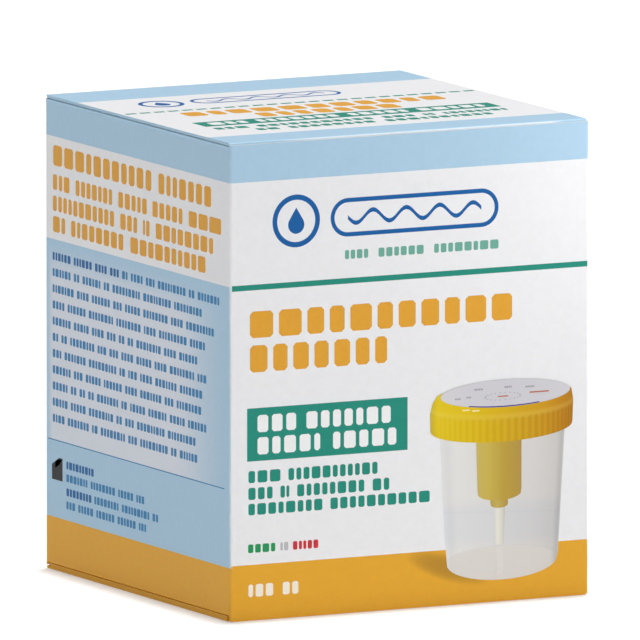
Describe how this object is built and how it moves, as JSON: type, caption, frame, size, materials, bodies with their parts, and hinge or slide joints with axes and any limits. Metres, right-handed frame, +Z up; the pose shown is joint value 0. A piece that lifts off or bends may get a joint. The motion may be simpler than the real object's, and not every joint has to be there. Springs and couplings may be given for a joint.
{
  "type": "folding carton with a specimen container inside",
  "caption": "Printed card carton with a tuck lid on a back crease, holding a translucent cup under a ribbed yellow screw cap with a tube well, needle and straw.",
  "frame": {"origin": "centre of the carton's footprint, on the surface that it stands on", "axes": "+Z up, -Y out of the front panel, +X to the right of someone who faces the front panel"},
  "size_m": [0.0666, 0.0676, 0.0795],
  "materials": {
    "printed_card": "satin",
    "translucent_plastic": "satin",
    "yellow_plastic": "satin",
    "straw_plastic": "satin",
    "needle_steel": "polished",
    "sleeve_rubber": "matte",
    "seal_paper": "satin"
  },
  "bodies": {
    "carton": {"carton_body": "printed_card", "specimen_cup": "translucent_plastic"},
    "lid": {"top_lid": "printed_card"},
    "straw": {"suction_straw": "straw_plastic"},
    "cap": {"screw_cap": "yellow_plastic", "needle": "needle_steel", "needle_sleeve": "sleeve_rubber", "paper_seal": "seal_paper"}
  },
  "joints": [
    {"name": "lid_crease", "type": "hinge", "parent": "carton", "child": "lid", "pos_m": [0, 0.03385, 0.0795], "axis": [-1, 0, 0], "range_deg": [0, 180]},
    {"name": "cap_lift", "type": "slide", "parent": "carton", "child": "straw", "axis": [0, 0, 1], "range_m": [0, 0.0036]},
    {"name": "cap_turn", "type": "hinge", "parent": "straw", "child": "cap", "pos_m": [0, 0.0008, 0.0742], "axis": [0, 0, 1], "range_deg": [0, 360]}
  ],
  "couplings": [
    {"joint": "cap_lift", "follows": "cap_turn", "m_per_rad": 0.00057295}
  ]
}
